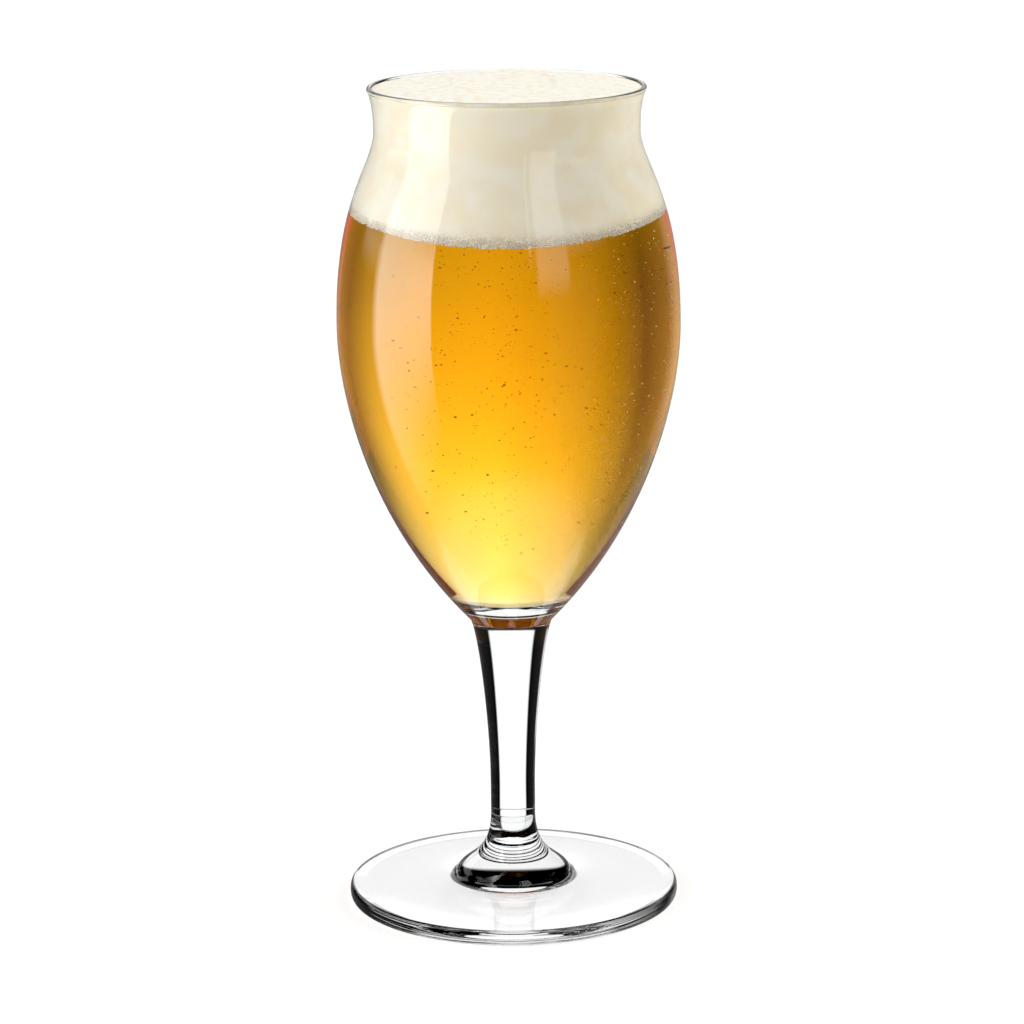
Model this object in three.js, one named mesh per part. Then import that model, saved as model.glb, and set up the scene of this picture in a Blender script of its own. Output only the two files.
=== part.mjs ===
// A stemmed tulip beer glass, filled with beer under a head of foam.
// Millimetres and degrees, +Z up. The origin is on the axis, at the level of the table.

import * as THREE from 'three';

// Foot: a round pressed disc, hollowed below, whose bell-shaped boss rises into the stem
const FOOT_RADIUS = 39.3;
const FOOT_HEIGHT = 20.5;
const EDGE_THICKNESS = 3.6;
const EDGE_ROUND = 1.1;
const DISC_RISE = 1.4;
const BOSS_RADIUS = 14.3;
const BOSS_ANGLE = 62;
const BOSS_FILLET = 1.6;
const REST_RING_WIDTH = 2.4;
const HOLLOW_DEPTH = 1.5;

// Stem: a solid pressed rod, thinnest just above the foot and flared under the bowl
const STEM_LENGTH = 48;
const WAIST_RADIUS = 5.3;
const WAIST_LENGTH = 7;
const STEM_TOP_RADIUS = 9.8;
const STEM_TOP_ANGLE = 60;

// Bowl: a tapered base, a round belly, a drawn-in neck and a flared lip
const BOWL_HEIGHT = 126.5;
const BASE_ANGLE = 45.7;
const BASE_THICKNESS = 5.2;
const FLOOR_ROUNDING = 5;
const BELLY_RADIUS = 40.1;
const BELLY_LEVEL = 71;
const NECK_RADIUS = 30.8;
const NECK_BELOW_LIP = 10.1;
const LIP_RADIUS = 32.2;
const LIP_ANGLE = 58;
const LIP_WALL = 1.2;
const BODY_WALL = 1.8;

// Contents: a head of foam that ends just under the lip, and beer from there to the floor
const FOAM_BELOW_LIP = 1.2;
const FOAM_HEIGHT = 29.8;
const FOAM_CROWN = 0.9;
const WALL_FILM = 0.3;

// Fullness of each curve: how far its end runs straight, as a share of the stretch's height
const BOSS_FULLNESS = 0.28;
const SEAM_FULLNESS = 0.77;
const WAIST_FULLNESS = 0.36;
const STEM_TOP_FULLNESS = 0.095;
const BASE_FULLNESS = 0.465;
const BELLY_FULLNESS_BELOW = 0.24;
const BELLY_FULLNESS_ABOVE = 0.67;
const NECK_FULLNESS_BELOW = 0.18;
const NECK_FULLNESS_ABOVE = 0.48;
const LIP_FULLNESS = 0.17;

// Facets of the round forms
const AROUND = 48;
const BASE_STEPS = 11;
const SHOULDER_STEPS = 10;
const LIP_STEPS = 3;
const LIP_ROUND_STEPS = 6;
const ROUND_STEPS = 3;
const FLOOR_STEPS = 4;
const STEM_STEPS = 9;
const BOSS_STEPS = 9;

const UP = 90;
const DOWN = -90;
const OUTWARDS = 0;
const HALF_TURN = 180;

const STEM_BASE = FOOT_HEIGHT;
const BOWL_BASE = STEM_BASE + STEM_LENGTH;
const LIP_TOP = BOWL_BASE + BOWL_HEIGHT;
const FOAM_EDGE = LIP_TOP - FOAM_BELOW_LIP;
const BEER_TOP = FOAM_EDGE - FOAM_HEIGHT;

const point = (radius, height) => new THREE.Vector2(radius, height);

/** The point that lies `reach` from `start`, at `degrees` above the outward direction. */
function along(start, degrees, reach) {
  const angle = THREE.MathUtils.degToRad(degrees);
  return point(start.x + reach * Math.cos(angle), start.y + reach * Math.sin(angle));
}

/** A smooth stretch that leaves `start` and reaches `end` along the handles given at both. */
function stretch(start, startAngle, startFullness, end, endAngle, endFullness) {
  const height = end.y - start.y;
  const startHandle = along(start, startAngle, startFullness * height);
  const endHandle = along(end, endAngle, endFullness * height);
  return new THREE.CubicBezierCurve(start, startHandle, endHandle, end);
}

/** A rounding from `start` to `end`, bulging towards `corner`. */
function rounding(start, corner, end, steps) {
  return new THREE.QuadraticBezierCurve(start, corner, end).getPoints(steps);
}

/** The radius, at one height, of an outline whose points rise. */
function radiusAt(outline, height) {
  const above = outline.findIndex((spot) => spot.y >= height);
  const [low, high] = [outline[above - 1], outline[above]];
  return THREE.MathUtils.mapLinear(height, low.y, high.y, low.x, high.x);
}

/** One piece of the glass: its half section turned about the +Z axis. */
function turned(name, section, look) {
  const geometry = new THREE.LatheGeometry(section, AROUND);
  geometry.rotateX(Math.PI / 2);
  const mesh = new THREE.Mesh(geometry, new THREE.MeshStandardMaterial(look));
  mesh.name = name;
  return mesh;
}

const glassLook = { color: 0xf2f7f7, roughness: 0.03, metalness: 0, transparent: true, opacity: 0.35 };
const beerLook = { color: 0xe2a010, roughness: 0.05, metalness: 0, transparent: true, opacity: 0.8 };
const foamLook = { color: 0xf7f0dc, roughness: 0.85, metalness: 0 };

// The bowl's outer wall, in three stretches: joint to belly, belly to neck, neck to lip
const joint = point(STEM_TOP_RADIUS, BOWL_BASE);
const belly = point(BELLY_RADIUS, BOWL_BASE + BELLY_LEVEL);
const neck = point(NECK_RADIUS, LIP_TOP - NECK_BELOW_LIP);
const lipTilt = THREE.MathUtils.degToRad(LIP_ANGLE);
const lip = point(LIP_RADIUS, LIP_TOP - (LIP_WALL / 2) * (1 + Math.cos(lipTilt)));
const outerWall = [
  {
    curve: stretch(joint, BASE_ANGLE, BASE_FULLNESS, belly, DOWN, BELLY_FULLNESS_BELOW),
    steps: BASE_STEPS,
  },
  {
    curve: stretch(belly, UP, BELLY_FULLNESS_ABOVE, neck, DOWN, NECK_FULLNESS_BELOW),
    steps: SHOULDER_STEPS,
  },
  {
    curve: stretch(neck, UP, NECK_FULLNESS_ABOVE, lip, LIP_ANGLE - HALF_TURN, LIP_FULLNESS),
    steps: LIP_STEPS,
  },
];

/** The glass's thickness at one height: the body's wall, which thins above the belly to the lip's. */
function wallAt(height) {
  const thinning = THREE.MathUtils.smoothstep(height, belly.y, lip.y);
  return THREE.MathUtils.lerp(BODY_WALL, LIP_WALL, thinning);
}

/** The outer wall moved inwards, square to itself, by the depth that `insetAt` gives at each height. */
function wallOutline(insetAt) {
  const outline = [];
  for (const { curve, steps } of outerWall) {
    for (let step = outline.length ? 1 : 0; step <= steps; step += 1) {
      const spot = curve.getPoint(step / steps);
      const tangent = curve.getTangent(step / steps);
      const inset = insetAt(spot.y);
      outline.push(point(spot.x - inset * tangent.y, spot.y + inset * tangent.x));
    }
  }
  return outline;
}

/** The bowl's inside, less a film: from the axis out over the dished floor and up the wall. */
function cavityOutline(film) {
  const wall = wallOutline((height) => wallAt(height) + film);
  const floor = BOWL_BASE + BASE_THICKNESS + film;
  const first = wall.findIndex((spot) => spot.y > floor + FLOOR_ROUNDING);
  const [edge, next] = [wall[first], wall[first + 1]];
  const cornerRadius = THREE.MathUtils.mapLinear(floor, edge.y, next.y, edge.x, next.x);
  const dish = rounding(point(0, floor), point(cornerRadius, floor), edge, FLOOR_STEPS);
  return [...dish, ...wall.slice(first + 1)];
}

/** The foot: hollowed underside, flat ring to stand on, rounded edge, sloped disc and boss. */
function makeFoot() {
  const ringOuter = point(FOOT_RADIUS - EDGE_ROUND, 0);
  const ringInner = point(ringOuter.x - REST_RING_WIDTH, 0);
  const edgeSide = point(FOOT_RADIUS, EDGE_THICKNESS / 2);
  const edgeTop = point(FOOT_RADIUS - EDGE_ROUND, EDGE_THICKNESS);
  const bossCorner = point(BOSS_RADIUS, EDGE_THICKNESS + DISC_RISE);
  const bossBase = along(bossCorner, HALF_TURN - BOSS_ANGLE, BOSS_FILLET);
  const discSlope = edgeTop.clone().sub(bossCorner).normalize();
  const discEnd = bossCorner.clone().addScaledVector(discSlope, BOSS_FILLET);
  const seam = point(WAIST_RADIUS, STEM_BASE);
  const hollowTop = point(0, HOLLOW_DEPTH);
  const hollowMiddle = point(ringInner.x / 2, HOLLOW_DEPTH);
  const boss = stretch(bossBase, HALF_TURN - BOSS_ANGLE, BOSS_FULLNESS, seam, DOWN, SEAM_FULLNESS);
  const section = [
    ...rounding(hollowTop, hollowMiddle, ringInner, FLOOR_STEPS),
    ...rounding(ringOuter, along(ringOuter, OUTWARDS, EDGE_ROUND), edgeSide, ROUND_STEPS),
    ...rounding(edgeSide, along(edgeTop, OUTWARDS, EDGE_ROUND), edgeTop, ROUND_STEPS).slice(1),
    ...rounding(discEnd, bossCorner, bossBase, ROUND_STEPS),
    ...boss.getPoints(BOSS_STEPS).slice(1),
    point(0, STEM_BASE),
  ];
  return turned('foot', section, glassLook);
}

/** The solid stem: straight at its waist, then flared up to the bowl. */
function makeStem() {
  const waist = point(WAIST_RADIUS, STEM_BASE + WAIST_LENGTH);
  const topAngle = STEM_TOP_ANGLE - HALF_TURN;
  const flare = stretch(waist, UP, WAIST_FULLNESS, joint, topAngle, STEM_TOP_FULLNESS);
  const section = [
    point(0, STEM_BASE),
    point(WAIST_RADIUS, STEM_BASE),
    ...flare.getPoints(STEM_STEPS),
    point(0, BOWL_BASE),
  ];
  return turned('stem', section, glassLook);
}

/** The blown bowl: thick base, outer wall, half-round lip and inner wall. */
function makeBowl() {
  const outer = wallOutline(() => 0);
  const inner = cavityOutline(0).reverse();
  const middle = outer.at(-1).clone().lerp(inner[0], 0.5);
  const radius = LIP_WALL / 2;
  const quarter = Math.PI / 2;
  const roll = new THREE.EllipseCurve(
    middle.x, middle.y, radius, radius, lipTilt - quarter, lipTilt + quarter,
  );
  const section = [
    point(0, BOWL_BASE),
    ...outer,
    ...roll.getPoints(LIP_ROUND_STEPS).slice(1, -1),
    ...inner,
  ];
  return turned('bowl', section, glassLook);
}

/** The beer: the bowl's inside from its floor up to the foam. */
function makeBeer() {
  const cavity = cavityOutline(WALL_FILM);
  const section = [
    ...cavity.filter((spot) => spot.y < BEER_TOP),
    point(radiusAt(cavity, BEER_TOP), BEER_TOP),
    point(0, BEER_TOP),
  ];
  return turned('beer', section, beerLook);
}

/** The foam: from the beer up to just under the lip, with a low crown. */
function makeFoamHead() {
  const cavity = cavityOutline(WALL_FILM);
  const edge = point(radiusAt(cavity, FOAM_EDGE), FOAM_EDGE);
  const crown = point(0, FOAM_EDGE + FOAM_CROWN);
  const section = [
    point(0, BEER_TOP),
    point(radiusAt(cavity, BEER_TOP), BEER_TOP),
    ...cavity.filter((spot) => spot.y > BEER_TOP && spot.y < FOAM_EDGE),
    ...rounding(edge, point(edge.x / 2, crown.y), crown, ROUND_STEPS),
  ];
  return turned('foam_head', section, foamLook);
}

const glass = new THREE.Group();
glass.add(makeFoot(), makeStem(), makeBowl(), makeBeer(), makeFoamHead());

export default glass;
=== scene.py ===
"""Looks of a stemmed tulip beer glass, full of beer under a head of foam.

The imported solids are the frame: metres, +Z up, the origin on the glass's axis at table level.
Each solid is replaced by a finer body of revolution on the same outline, and the glass, the beer
and the foam get finishes whose optics follow the real surfaces: air to glass, glass to beer.
"""

import logging
import math
import random
from dataclasses import dataclass
from enum import Enum, IntEnum
from typing import Any

import bmesh
import bpy
import numpy as np
from mathutils import Matrix, Vector, noise


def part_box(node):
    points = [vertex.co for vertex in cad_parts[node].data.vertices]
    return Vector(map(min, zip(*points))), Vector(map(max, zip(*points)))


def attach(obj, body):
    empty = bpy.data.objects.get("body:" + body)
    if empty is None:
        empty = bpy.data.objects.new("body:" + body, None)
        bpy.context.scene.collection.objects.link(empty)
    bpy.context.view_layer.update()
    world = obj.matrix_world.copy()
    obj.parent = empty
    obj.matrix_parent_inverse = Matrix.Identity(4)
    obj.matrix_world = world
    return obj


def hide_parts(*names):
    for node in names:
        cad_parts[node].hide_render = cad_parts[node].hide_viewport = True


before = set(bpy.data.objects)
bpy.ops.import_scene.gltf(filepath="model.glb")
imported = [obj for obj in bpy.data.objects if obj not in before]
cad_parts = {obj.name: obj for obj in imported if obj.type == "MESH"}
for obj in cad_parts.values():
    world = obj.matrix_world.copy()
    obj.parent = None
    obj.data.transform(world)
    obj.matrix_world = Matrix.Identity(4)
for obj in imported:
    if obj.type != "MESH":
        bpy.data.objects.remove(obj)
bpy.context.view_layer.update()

LOG = logging.getLogger("beer_glass")
MM = 0.001
BODY = "root"

# Directions in the half section and round the axis, in degrees.
UP = 90.0
DOWN = -90.0
OUTWARDS = 0.0
HALF_TURN = 180.0

# Spots, or levels, that are closer to each other than this are the same, in metres.
SAME_SPOT = 1e-9
SAME_LEVEL = 1e-6

GLASS_IOR = 1.52
BEER_IOR = 1.34
LIP_TINT = (0.92, 0.955, 0.95)

# Light that has crossed more surfaces than this has come through the beer.
BEER_DEPTH = 4.5

# Light with fewer diffuse bounces than this has had none.
NO_BOUNCE = 0.5

FOAM_BELOW_LIP = 0.5 * MM
FOAM_ABOVE_LIP = 0.6 * MM

Spot = tuple[float, float]
Colour = tuple[float, float, float]
Triple = tuple[float, float, float]


class Slot(Enum):
    """The record's material slots."""

    GLASS = "clear_glass"
    BEER = "beer"
    FOAM = "foam"


class Face(IntEnum):
    """The kinds of surface on a glass piece, as the order of its materials."""

    DRY = 0
    WET = 1
    JOINT = 2
    LIP = 3


def along(start: Spot, degrees: float, reach: float) -> Spot:
    """Steps away from a spot of the half section.

    Args:
        start: Radius and height of the first spot.
        degrees: Direction above the outward one.
        reach: Length of the step.

    Returns:
        The spot reached.
    """
    angle = math.radians(degrees)
    return (start[0] + reach * math.cos(angle), start[1] + reach * math.sin(angle))


def bezier(handles: list[Spot], steps: int) -> list[Spot]:
    """Follows a Bezier curve of any degree.

    Args:
        handles: The curve's ends, with its handles between them.
        steps: How many steps the curve is cut into.

    Returns:
        The spots along the curve, both ends included.
    """
    spots = []
    for step in range(steps + 1):
        share = step / steps
        level = [np.array(handle) for handle in handles]
        while len(level) > 1:
            level = [a + (b - a) * share for a, b in zip(level, level[1:])]
        spots.append((float(level[0][0]), float(level[0][1])))
    return spots


@dataclass(frozen=True)
class Stretch:
    """A smooth stretch of the section, with a direction and a fullness at both ends.

    A fullness is how far the end runs straight, as a share of the stretch's height.
    """

    start: Spot
    start_angle: float
    start_fullness: float
    end: Spot
    end_angle: float
    end_fullness: float

    def spots(self, steps: int) -> list[Spot]:
        """Follows the stretch.

        Args:
            steps: How many steps it is cut into.

        Returns:
            The spots along it, both ends included.
        """
        height = self.end[1] - self.start[1]
        first = along(self.start, self.start_angle, self.start_fullness * height)
        last = along(self.end, self.end_angle, self.end_fullness * height)
        return bezier([self.start, first, last, self.end], steps)


def radius_at(outline: list[Spot], height: float) -> float:
    """Reads the radius of a rising outline at one height.

    Args:
        outline: The outline's spots, from its lowest to its highest.
        height: The height.

    Returns:
        The radius.
    """
    radii = [spot[0] for spot in outline]
    return float(np.interp(height, [spot[1] for spot in outline], radii))


def smoothstep(value: float, low: float, high: float) -> float:
    """Eases from 0 at the low value to 1 at the high one.

    Args:
        value: The value to ease.
        low: Where the easing starts.
        high: Where it ends.

    Returns:
        The eased share.
    """
    share = min(max((value - low) / (high - low), 0.0), 1.0)
    return share * share * (3.0 - 2.0 * share)


class TurnedBody:
    """A closed body of revolution about +Z, gathered band by band along its half section."""

    def __init__(self, name: str, around: int) -> None:
        """Starts an empty section.

        Args:
            name: The piece's name.
            around: How many facets go round the body.
        """
        self.name = name
        self.around = around
        self.spots: list[Spot] = []
        self.kinds: list[int] = []
        self.creases: list[int] = []

    def band(self, spots: list[Spot], kind: int = 0, crease: bool = False) -> "TurnedBody":
        """Adds a stretch that goes on from the last spot.

        Args:
            spots: The stretch's spots. The first is left out where it is the last one so far.
            kind: Index of the stretch's material.
            crease: Whether the stretch starts at a sharp corner.

        Returns:
            The body itself.
        """
        if crease and self.spots:
            self.creases.append(len(self.spots) - 1)
        for spot in spots:
            if self.spots and math.dist(spot, self.spots[-1]) < SAME_SPOT:
                continue
            self.spots.append(spot)
            self.kinds.append(kind)
        return self

    def build(self) -> bpy.types.Object:
        """Turns the section about the axis.

        Returns:
            The new object, linked to the scene, with one material index per band.
        """
        rings: list[list[int]] = []
        places: list[Triple] = []
        for radius, height in self.spots:
            count = 1 if radius < SAME_SPOT else self.around
            turns = [2.0 * math.pi * step / self.around for step in range(count)]
            rings.append(list(range(len(places), len(places) + count)))
            places.extend((radius * math.cos(a), radius * math.sin(a), height) for a in turns)
        faces, kinds = [], []
        for index, (low, high) in enumerate(zip(rings, rings[1:])):
            for step in range(self.around):
                after = (step + 1) % self.around
                corners = [low[step % len(low)], low[after % len(low)]]
                corners += [high[after % len(high)], high[step % len(high)]]
                faces.append(list(dict.fromkeys(corners)))
                kinds.append(self.kinds[index + 1])
        mesh = bpy.data.meshes.new(self.name)
        mesh.from_pydata(places, [], faces)
        mesh.polygons.foreach_set("material_index", kinds)
        mesh.polygons.foreach_set("use_smooth", [True] * len(faces))
        self._crease(mesh, rings)
        mesh.update()
        return link_mesh(mesh)

    def _crease(self, mesh: bpy.types.Mesh, rings: list[list[int]]) -> None:
        """Marks the rings at sharp corners, so that shading breaks there.

        Args:
            mesh: The turned mesh.
            rings: For each spot of the section, the vertices that it was turned into.
        """
        ring_of = np.zeros(len(mesh.vertices), int)
        for index, ring in enumerate(rings):
            ring_of[ring] = index
        ends = np.zeros(len(mesh.edges) * 2, int)
        mesh.edges.foreach_get("vertices", ends)
        ends = ring_of[ends.reshape(-1, 2)]
        sharp = (ends[:, 0] == ends[:, 1]) & np.isin(ends[:, 0], self.creases)
        mesh.attributes.new("sharp_edge", "BOOLEAN", "EDGE").data.foreach_set("value", sharp)


def link_mesh(mesh: bpy.types.Mesh) -> bpy.types.Object:
    """Puts a mesh into the scene.

    Args:
        mesh: The mesh.

    Returns:
        The new object, which has the mesh's name.
    """
    made = bpy.data.objects.new(mesh.name, mesh)
    bpy.context.scene.collection.objects.link(made)
    return made


def give_finish(piece: bpy.types.Object, slot: Slot, *finishes: bpy.types.Material) -> None:
    """Gives a piece its materials and its body.

    Args:
        piece: The piece to dress.
        slot: The record's slot that its finish belongs to. Not used.
        finishes: Its materials, in the order of its material indices.
    """
    for finish in finishes:
        piece.data.materials.append(finish)
    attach(piece, BODY)
    LOG.info("%s: %d faces", piece.name, len(piece.data.polygons))


class Graph:
    """A short way to add and join the nodes of one node tree."""

    def __init__(self, owner: bpy.types.Material | bpy.types.World) -> None:
        """Empties the owner's node tree and takes it over.

        Args:
            owner: The material or the world that the tree belongs to.
        """
        owner.use_nodes = True
        self.tree = owner.node_tree
        self.tree.nodes.clear()

    def node(self, kind: str, inputs: dict[Any, Any] | None = None, **settings: Any) -> bpy.types.Node:
        """Adds a node.

        Args:
            kind: The node's type name, without its ShaderNode prefix.
            inputs: Values or sockets for its inputs, by name or index.
            settings: Properties of the node itself.

        Returns:
            The new node.
        """
        made = self.tree.nodes.new("ShaderNode" + kind)
        for name, value in settings.items():
            setattr(made, name, value)
        for name, value in (inputs or {}).items():
            self.feed(made.inputs[name], value)
        return made

    def feed(self, socket: bpy.types.NodeSocket, value: Any) -> None:
        """Links a socket into another, or sets its plain value.

        Args:
            socket: The input to feed.
            value: An output to link to it, or its value. A colour may leave its alpha out.
        """
        if isinstance(value, bpy.types.NodeSocket):
            self.tree.links.new(value, socket)
        elif socket.type == "RGBA" and len(value) == 3:
            socket.default_value = (*value, 1.0)
        else:
            socket.default_value = value

    def math(self, operation: str, *values: Any) -> bpy.types.NodeSocket:
        """Adds a Math node and returns its result."""
        return self.node("Math", dict(enumerate(values)), operation=operation).outputs[0]

    def noise_at(self, place: bpy.types.NodeSocket, scale: float, detail: float) -> bpy.types.NodeSocket:
        """Adds a noise texture and returns its value."""
        return self.node("TexNoise", {"Vector": place, "Scale": scale, "Detail": detail}).outputs[0]

    def ramp(
        self, value: Any, low: float, high: float, start: float, end: float, kind: str = "LINEAR"
    ) -> bpy.types.NodeSocket:
        """Maps a value from low..high to start..end and returns the result."""
        inputs = {"Value": value, "From Min": low, "From Max": high, "To Min": start, "To Max": end}
        return self.node("MapRange", inputs, interpolation_type=kind).outputs["Result"]

    def ease(self, value: Any, low: float, high: float, start: float, end: float) -> bpy.types.NodeSocket:
        """Maps a value smoothly from low..high to start..end and returns the result."""
        return self.ramp(value, low, high, start, end, "SMOOTHSTEP")

    # A Mix node takes numbers at its inputs 2 and 3, and colours at its inputs 6 and 7.

    def blend(self, share: Any, first: Any, second: Any) -> bpy.types.NodeSocket:
        """Mixes two numbers and returns the result."""
        made = self.node("Mix", {0: share, 2: first, 3: second}, data_type="FLOAT", clamp_factor=True)
        return made.outputs[0]

    def mix(self, share: Any, first: Any, second: Any) -> bpy.types.NodeSocket:
        """Mixes two colours and returns the result."""
        made = self.node("Mix", {0: share, 6: first, 7: second}, data_type="RGBA")
        return made.outputs[2]

    def surface(self, shader: bpy.types.NodeSocket, volume: bpy.types.NodeSocket | None = None) -> None:
        """Joins a shader, and a volume where there is one, to the material's output.

        Args:
            shader: The surface's shader.
            volume: The shader of what is inside.
        """
        output = self.node("OutputMaterial", {"Surface": shader})
        if volume is not None:
            self.tree.links.new(volume, output.inputs["Volume"])


@dataclass(frozen=True)
class ClearGlass:
    """Polished clear glass, with the faint waves that pressing and blowing leave."""

    name: str
    ior: float
    tint: Colour = (0.994, 1.0, 0.998)
    wave_scale: float = 70.0
    wave_strength: float = 0.03
    wave_depth: float = 0.2 * MM
    wave_detail: float = 1.0

    def make(self) -> bpy.types.Material:
        """Builds the material.

        Returns:
            The material.
        """
        finish = bpy.data.materials.new(self.name)
        graph = Graph(finish)
        place = graph.node("TexCoord").outputs["Object"]
        waves = graph.noise_at(place, self.wave_scale, self.wave_detail)
        bump = graph.node(
            "Bump",
            {"Height": waves, "Strength": self.wave_strength, "Distance": self.wave_depth},
        )
        glass = graph.node(
            "BsdfPrincipled",
            {
                "Base Color": self.tint,
                "Roughness": 0.0,
                "IOR": self.ior,
                "Transmission Weight": 1.0,
                "Normal": bump.outputs[0],
            },
        )
        graph.surface(glass.outputs[0])
        return finish


@dataclass(frozen=True)
class FusedJoint:
    """The plane inside the glass where two pieces are fused, which nothing shows."""

    name: str = "fused_joint"
    tints: tuple[Colour, Colour] = ((0.95, 0.97, 0.97), (1.0, 1.0, 1.0))
    wave_scale: float = 70.0
    wave_detail: float = 2.0

    def make(self) -> bpy.types.Material:
        """Builds the material.

        Returns:
            The material.
        """
        finish = bpy.data.materials.new(self.name)
        graph = Graph(finish)
        place = graph.node("TexCoord").outputs["Object"]
        waves = graph.noise_at(place, self.wave_scale, self.wave_detail)
        joint = graph.node("BsdfPrincipled", {"Base Color": graph.mix(waves, *self.tints), "Alpha": 0.0})
        graph.surface(joint.outputs[0])
        return finish


@dataclass(frozen=True)
class AmberBeer:
    """Clear pale beer: its colour comes from the depth of beer that the light crosses."""

    name: str = "amber_beer"
    colour: Colour = (0.9775, 0.835, 0.0625)
    density: float = 80.0

    def make(self) -> bpy.types.Material:
        """Builds the material. The glass's wetted wall bends the light, so the beer's skin doesn't.

        Returns:
            The material.
        """
        finish = bpy.data.materials.new(self.name)
        graph = Graph(finish)
        skin = graph.node(
            "BsdfPrincipled",
            {"Base Color": (1.0, 1.0, 1.0), "Roughness": 0.0, "IOR": 1.0, "Transmission Weight": 1.0},
        )
        depth = graph.node("VolumeAbsorption", {"Color": self.colour, "Density": self.density})
        graph.surface(skin.outputs[0], depth.outputs[0])
        return finish


@dataclass(frozen=True)
class CreamFoam:
    """Cream-white froth: smooth on its side, with fine cells low down and mottled bubbles on top. Its
    downward-facing underside is darkened as painted shade, and its top is greyed in part as painted shade.
    """

    beer_level: float
    edge_level: float
    name: str = "cream_foam"
    cream: Colour = (0.95, 0.895, 0.765)
    white: Colour = (0.975, 0.95, 0.87)
    crease: Colour = (0.74, 0.6, 0.37)
    mottle: Colour = (0.74, 0.67, 0.54)
    froth: Colour = (0.95, 0.92, 0.87)
    # The top's colour: its paler, less yellow tone is the froth's own, and its grey is painted shade that
    # tones down the stronger light from above.
    crown: Colour = (0.8, 0.815, 0.79)
    # Painted shade: the colour of the underside where it faces down into the beer.
    painted_underside_shade: Colour = (0.3, 0.5, 0.12)
    cell_scale: float = 1500.0
    crease_width: float = 0.16
    cloud_scale: float = 160.0
    cloud_detail: float = 3.0
    cloud_range: Spot = (0.35, 0.65)
    mottle_scale: float = 420.0
    mottle_detail: float = 4.0
    mottle_range: Spot = (0.46, 0.66)
    mottle_share: float = 0.7
    froth_share: float = 0.7
    # Facing range over which the underside's painted shade comes in.
    underside: Spot = (-0.9, -0.5)
    rough_range: Spot = (0.3, 0.7)
    roughness: Spot = (0.6, 0.8)
    shine: float = 0.15
    bump_depth: float = 0.25 * MM
    low_band: float = 3.6 * MM
    top_band: float = 0.8 * MM
    crease_shares: tuple[float, float, float] = (0.06, 0.6, 0.3)
    scatter: float = 0.35
    scatter_radius: Colour = (1.0, 0.75, 0.45)
    scatter_scale: float = 1.5 * MM

    def make(self) -> bpy.types.Material:
        """Builds the material.

        Returns:
            The material.
        """
        finish = bpy.data.materials.new(self.name)
        graph = Graph(finish)
        place = graph.node("TexCoord").outputs["Object"]
        height = graph.node("SeparateXYZ", {0: place}).outputs["Z"]
        low = graph.ease(height, self.beer_level, self.beer_level + self.low_band, 1.0, 0.0)
        top = graph.ease(height, self.edge_level - self.top_band, self.edge_level, 0.0, 1.0)
        clouds = graph.noise_at(place, self.cloud_scale, self.cloud_detail)
        spots = graph.noise_at(place, self.mottle_scale, self.mottle_detail)
        cells = graph.node(
            "TexVoronoi", {"Vector": place, "Scale": self.cell_scale}, feature="DISTANCE_TO_EDGE"
        ).outputs["Distance"]
        body = graph.mix(graph.ease(clouds, *self.cloud_range, 0.0, 1.0), self.cream, self.white)
        body = graph.mix(graph.math("MULTIPLY", low, self.froth_share), body, self.froth)
        # In part painted shade: the top takes the greyed crown colour.
        body = graph.mix(top, body, self.crown)
        mottled = graph.ease(spots, *self.mottle_range, 0.0, self.mottle_share)
        mottled = graph.math("MULTIPLY", mottled, top)
        body = graph.mix(mottled, body, self.mottle)
        smooth, fine, coarse = self.crease_shares
        strength = graph.math("MULTIPLY_ADD", low, fine - smooth, smooth)
        strength = graph.math("MULTIPLY_ADD", top, coarse - smooth, strength)
        lines = graph.ease(cells, 0.0, self.crease_width, 1.0, 0.0)
        lines = graph.math("MULTIPLY", lines, strength)
        facing = graph.node("SeparateXYZ", {0: graph.node("TexCoord").outputs["Normal"]}).outputs["Z"]
        # Painted shade: where the foam faces down into the beer, its colour darkens to a dull olive brown.
        body = graph.mix(graph.ease(facing, *self.underside, 1.0, 0.0), body, self.painted_underside_shade)
        colour = graph.mix(lines, body, self.crease)
        bump = graph.node("Bump", {"Height": cells, "Strength": strength, "Distance": self.bump_depth})
        froth = graph.node(
            "BsdfPrincipled",
            {
                "Base Color": colour,
                "Roughness": graph.ease(clouds, *self.rough_range, *self.roughness),
                "Specular IOR Level": self.shine,
                "Subsurface Weight": self.scatter,
                "Subsurface Radius": self.scatter_radius,
                "Subsurface Scale": self.scatter_scale,
                "Normal": bump.outputs[0],
            },
        )
        graph.surface(froth.outputs[0])
        return finish


@dataclass(frozen=True)
class BubbleSkin:
    """The skin of a gas bubble in beer, whose colour paints it as a speck: a dark tint is painted shade, a
    bright one a painted glint.
    """

    name: str
    # Painted light: the two tints between which each bubble's skin is coloured.
    dark: Colour
    light: Colour
    clear: float
    ior: float = BEER_IOR
    tone_scale: float = 900.0
    tone_detail: float = 0.0
    tone_range: Spot = (0.4, 0.6)

    def make(self) -> bpy.types.Material:
        """Builds the material, each bubble a little lighter or darker than the next.

        Returns:
            The material.
        """
        finish = bpy.data.materials.new(self.name)
        graph = Graph(finish)
        place = graph.node("TexCoord").outputs["Object"]
        tone = graph.noise_at(place, self.tone_scale, self.tone_detail)
        share = graph.ease(tone, *self.tone_range, 0.0, 1.0)
        skin = graph.node(
            "BsdfPrincipled",
            {
                "Base Color": graph.mix(share, self.dark, self.light),
                "Roughness": 0.0,
                "IOR": self.ior,
                "Transmission Weight": self.clear,
            },
        )
        graph.surface(skin.outputs[0])
        return finish


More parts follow.
